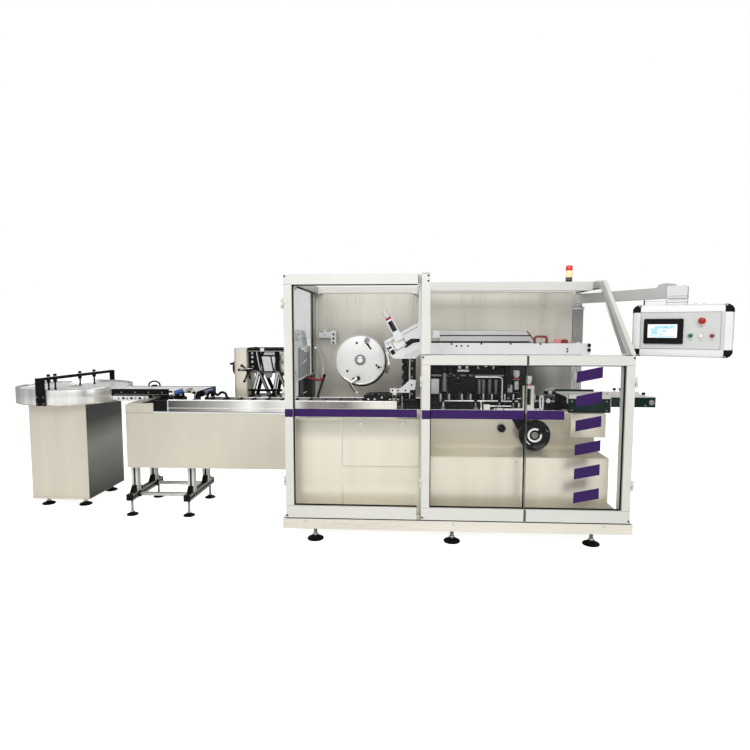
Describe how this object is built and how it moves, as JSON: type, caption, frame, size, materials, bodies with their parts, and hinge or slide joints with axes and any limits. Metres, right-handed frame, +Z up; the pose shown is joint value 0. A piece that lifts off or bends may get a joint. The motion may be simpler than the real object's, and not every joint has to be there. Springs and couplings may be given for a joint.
{
  "type": "automatic cartoner",
  "caption": "Horizontal cartoning line: feeding turntable, flighted infeed with leaflet folder, guarded carton section with rotor and magazine, discharge belt and swing-arm panel.",
  "frame": {"origin": "on the floor under the middle of the whole outline", "axes": "+X along the line from the turntable to the discharge, +Y from the operator side to the back, +Z up"},
  "size_m": [4.7962, 1.2272, 1.71],
  "materials": {
    "stainless": "brushed stainless sheet, satin",
    "plinth_steel": "brushed stainless plinth",
    "frame_aluminium": "anodised light guard profile",
    "clear_sheet": "clear acrylic sheet",
    "black_plastic": "black moulded plastic",
    "black_steel": "black coated steel",
    "dark_housing": "dark grey coated housing",
    "polished_steel": "polished steel",
    "white_plate": "pale anodised plate",
    "roller_white": "pale roller covering",
    "belt_rubber": "dark belt",
    "disc_steel": "turned bright steel disc",
    "rotor_grey": "bead-blasted aluminium",
    "green_enamel": "dark green enamel",
    "arm_grey": "light grey coated arm",
    "panel_face": "light grey panel housing",
    "screen_black": "black screen bezel",
    "button_red": "coloured push buttons",
    "lamp_lens": "lamp lens over a black base"
  },
  "bodies": {
    "machine": {"base_plinth": "plinth_steel", "levelling_feet": "black_plastic", "machine_body": "stainless", "drive_box": "stainless", "inspection_cover": "stainless", "bed_plate": "stainless", "guard_posts": "frame_aluminium", "guard_long_rails": "frame_aluminium", "guard_deep_rails": "frame_aluminium", "slanted_post": "frame_aluminium", "side_glass": "clear_sheet", "back_panel": "stainless", "door_hinges": "polished_steel", "infeed_body": "stainless", "product_rails": "stainless", "product_belt": "belt_rubber", "product_flights": "black_plastic", "stand_columns": "stainless", "stand_beams": "black_steel", "turntable_pedestal": "stainless", "turntable_ring": "stainless", "turntable_guide": "black_steel", "transfer_sides": "black_steel", "transfer_belt": "disc_steel", "leaflet_cabinet": "stainless", "leaflet_frame": "black_steel", "leaflet_rollers": "roller_white", "rotor_bearing": "dark_housing", "magazine_sides": "white_plate", "magazine_deck": "stainless", "carton_guides": "polished_steel", "carton_track": "belt_rubber", "carton_lugs": "roller_white", "guide_rods": "polished_steel", "pusher_housing": "dark_housing", "height_adjusters": "white_plate", "bracket_plates": "white_plate", "discharge_sides": "green_enamel", "discharge_belt": "belt_rubber", "panel_column": "arm_grey", "signal_lamp": "lamp_lens"},
    "left_door": {"left_door_frame": "frame_aluminium", "left_door_glass": "clear_sheet"},
    "middle_door": {"middle_door_frame": "frame_aluminium", "middle_door_glass": "clear_sheet"},
    "right_door": {"right_door_frame": "frame_aluminium", "right_door_glass": "clear_sheet"},
    "turntable": {"turntable_disc": "disc_steel"},
    "rotor": {"carton_rotor": "rotor_grey"},
    "handwheel": {"handwheel": "black_plastic"},
    "panel_arm": {"panel_arm": "arm_grey"},
    "panel": {"panel_enclosure": "panel_face", "panel_screen": "screen_black", "panel_buttons": "button_red"}
  },
  "joints": [
    {"name": "left_door_swing", "type": "hinge", "parent": "machine", "child": "left_door", "pos_m": [-0.24907, -0.60764, 0.155], "axis": [0, 0, -1], "range_deg": [0, 110]},
    {"name": "middle_door_swing", "type": "hinge", "parent": "machine", "child": "middle_door", "pos_m": [0.55793, -0.60764, 0.155], "axis": [0, 0, -1], "range_deg": [0, 110]},
    {"name": "right_door_swing", "type": "hinge", "parent": "machine", "child": "right_door", "pos_m": [1.77893, -0.60764, 0.155], "axis": [0, 0, 1], "range_deg": [0, 110]},
    {"name": "turntable_spin", "type": "hinge", "parent": "machine", "child": "turntable", "pos_m": [-2.00807, 0.21836, 0.85], "axis": [0, 0, 1], "continuous": true},
    {"name": "rotor_spin", "type": "hinge", "parent": "machine", "child": "rotor", "pos_m": [0.16893, -0.16164, 1.078], "axis": [0, -1, 0], "continuous": true},
    {"name": "handwheel_spin", "type": "hinge", "parent": "machine", "child": "handwheel", "pos_m": [1.28493, -0.31164, 0.613], "axis": [0, -1, 0], "continuous": true},
    {"name": "panel_arm_swing", "type": "hinge", "parent": "machine", "child": "panel_arm", "pos_m": [1.74593, 0.43436, 1.45], "axis": [0, 0, 1], "range_deg": [0, 64]},
    {"name": "panel_swivel", "type": "hinge", "parent": "panel_arm", "child": "panel", "pos_m": [2.13193, -0.35864, 1.465], "axis": [0, 0, 1], "range_deg": [-60, 60]}
  ]
}
